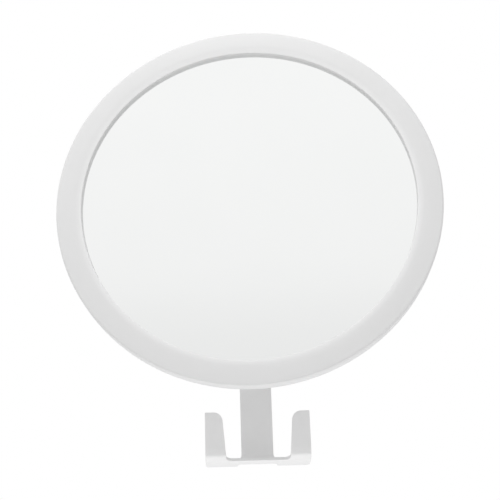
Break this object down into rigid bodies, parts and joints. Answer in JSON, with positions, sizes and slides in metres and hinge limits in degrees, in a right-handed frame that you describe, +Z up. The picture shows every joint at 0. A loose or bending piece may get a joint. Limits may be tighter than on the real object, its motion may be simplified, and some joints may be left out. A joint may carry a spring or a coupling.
{
  "type": "wall mirror",
  "caption": "Round framed wall mirror that swivels and tilts on a ball joint, on a wall base with a bent strap that ends in a two-pronged hook below the mirror.",
  "frame": {"origin": "centre of the adhesive pad's back face, on the wall plane, behind the ball joint", "axes": "+Z up, +Y into the wall, the mirror looks along -Y, +X to the right as seen from in front"},
  "size_m": [0.1997, 0.0642, 0.2299],
  "materials": {
    "rim_plastic": "white moulded plastic, softly satin",
    "cover_plastic": "white moulded plastic, fine texture",
    "base_plastic": "white moulded plastic, satin",
    "silvered_glass": "silvered mirror glass, polished",
    "adhesive_foam": "closed-cell adhesive foam, dull",
    "backing_board": "pressed board, dull",
    "socket_nylon": "moulded nylon, dull",
    "liner_acetal": "moulded acetal, satin",
    "zinc_plated_steel": "zinc plated",
    "stud_steel": "turned and polished steel",
    "spring_steel": "blued spring steel",
    "screw_steel": "zinc-plated steel",
    "painted_steel": "white powder coat, satin"
  },
  "bodies": {
    "wall_bracket": {"wall_pad": "adhesive_foam", "back_plate": "zinc_plated_steel", "wall_base": "base_plastic", "hook_strap": "painted_steel", "ball_stud": "stud_steel", "stud_washer": "zinc_plated_steel", "stud_nut": "zinc_plated_steel", "strap_screw_upper": "screw_steel", "strap_screw_lower": "screw_steel"},
    "ball_liner": {"liner_ring": "liner_acetal"},
    "ball_cup": {"pressure_cup": "liner_acetal"},
    "mirror_head": {"front_rim": "rim_plastic", "mirror_glass": "silvered_glass", "foam_pad": "adhesive_foam", "backing_plate": "backing_board", "rear_cover": "cover_plastic", "socket_cup": "socket_nylon", "clamp_ring": "socket_nylon", "disc_spring": "spring_steel", "socket_screw_1": "screw_steel", "socket_screw_2": "screw_steel", "socket_screw_3": "screw_steel", "cover_screw_1": "screw_steel", "cover_screw_2": "screw_steel", "cover_screw_3": "screw_steel", "cover_screw_4": "screw_steel", "cover_screw_5": "screw_steel", "cover_screw_6": "screw_steel"}
  },
  "joints": [
    {"name": "mirror_swivel", "type": "hinge", "parent": "wall_bracket", "child": "ball_liner", "pos_m": [0, -0.0307, 0], "axis": [0, 0, 1], "range_deg": [-15.6, 24.4]},
    {"name": "mirror_tilt", "type": "hinge", "parent": "ball_liner", "child": "ball_cup", "pos_m": [0, -0.0307, 0], "axis": [0.9971, -0.0767, 0], "range_deg": [-18, 18]},
    {"name": "mirror_spin", "type": "hinge", "parent": "ball_cup", "child": "mirror_head", "pos_m": [0, -0.0307, 0], "axis": [-0.0767, -0.9971, 0], "continuous": true}
  ]
}
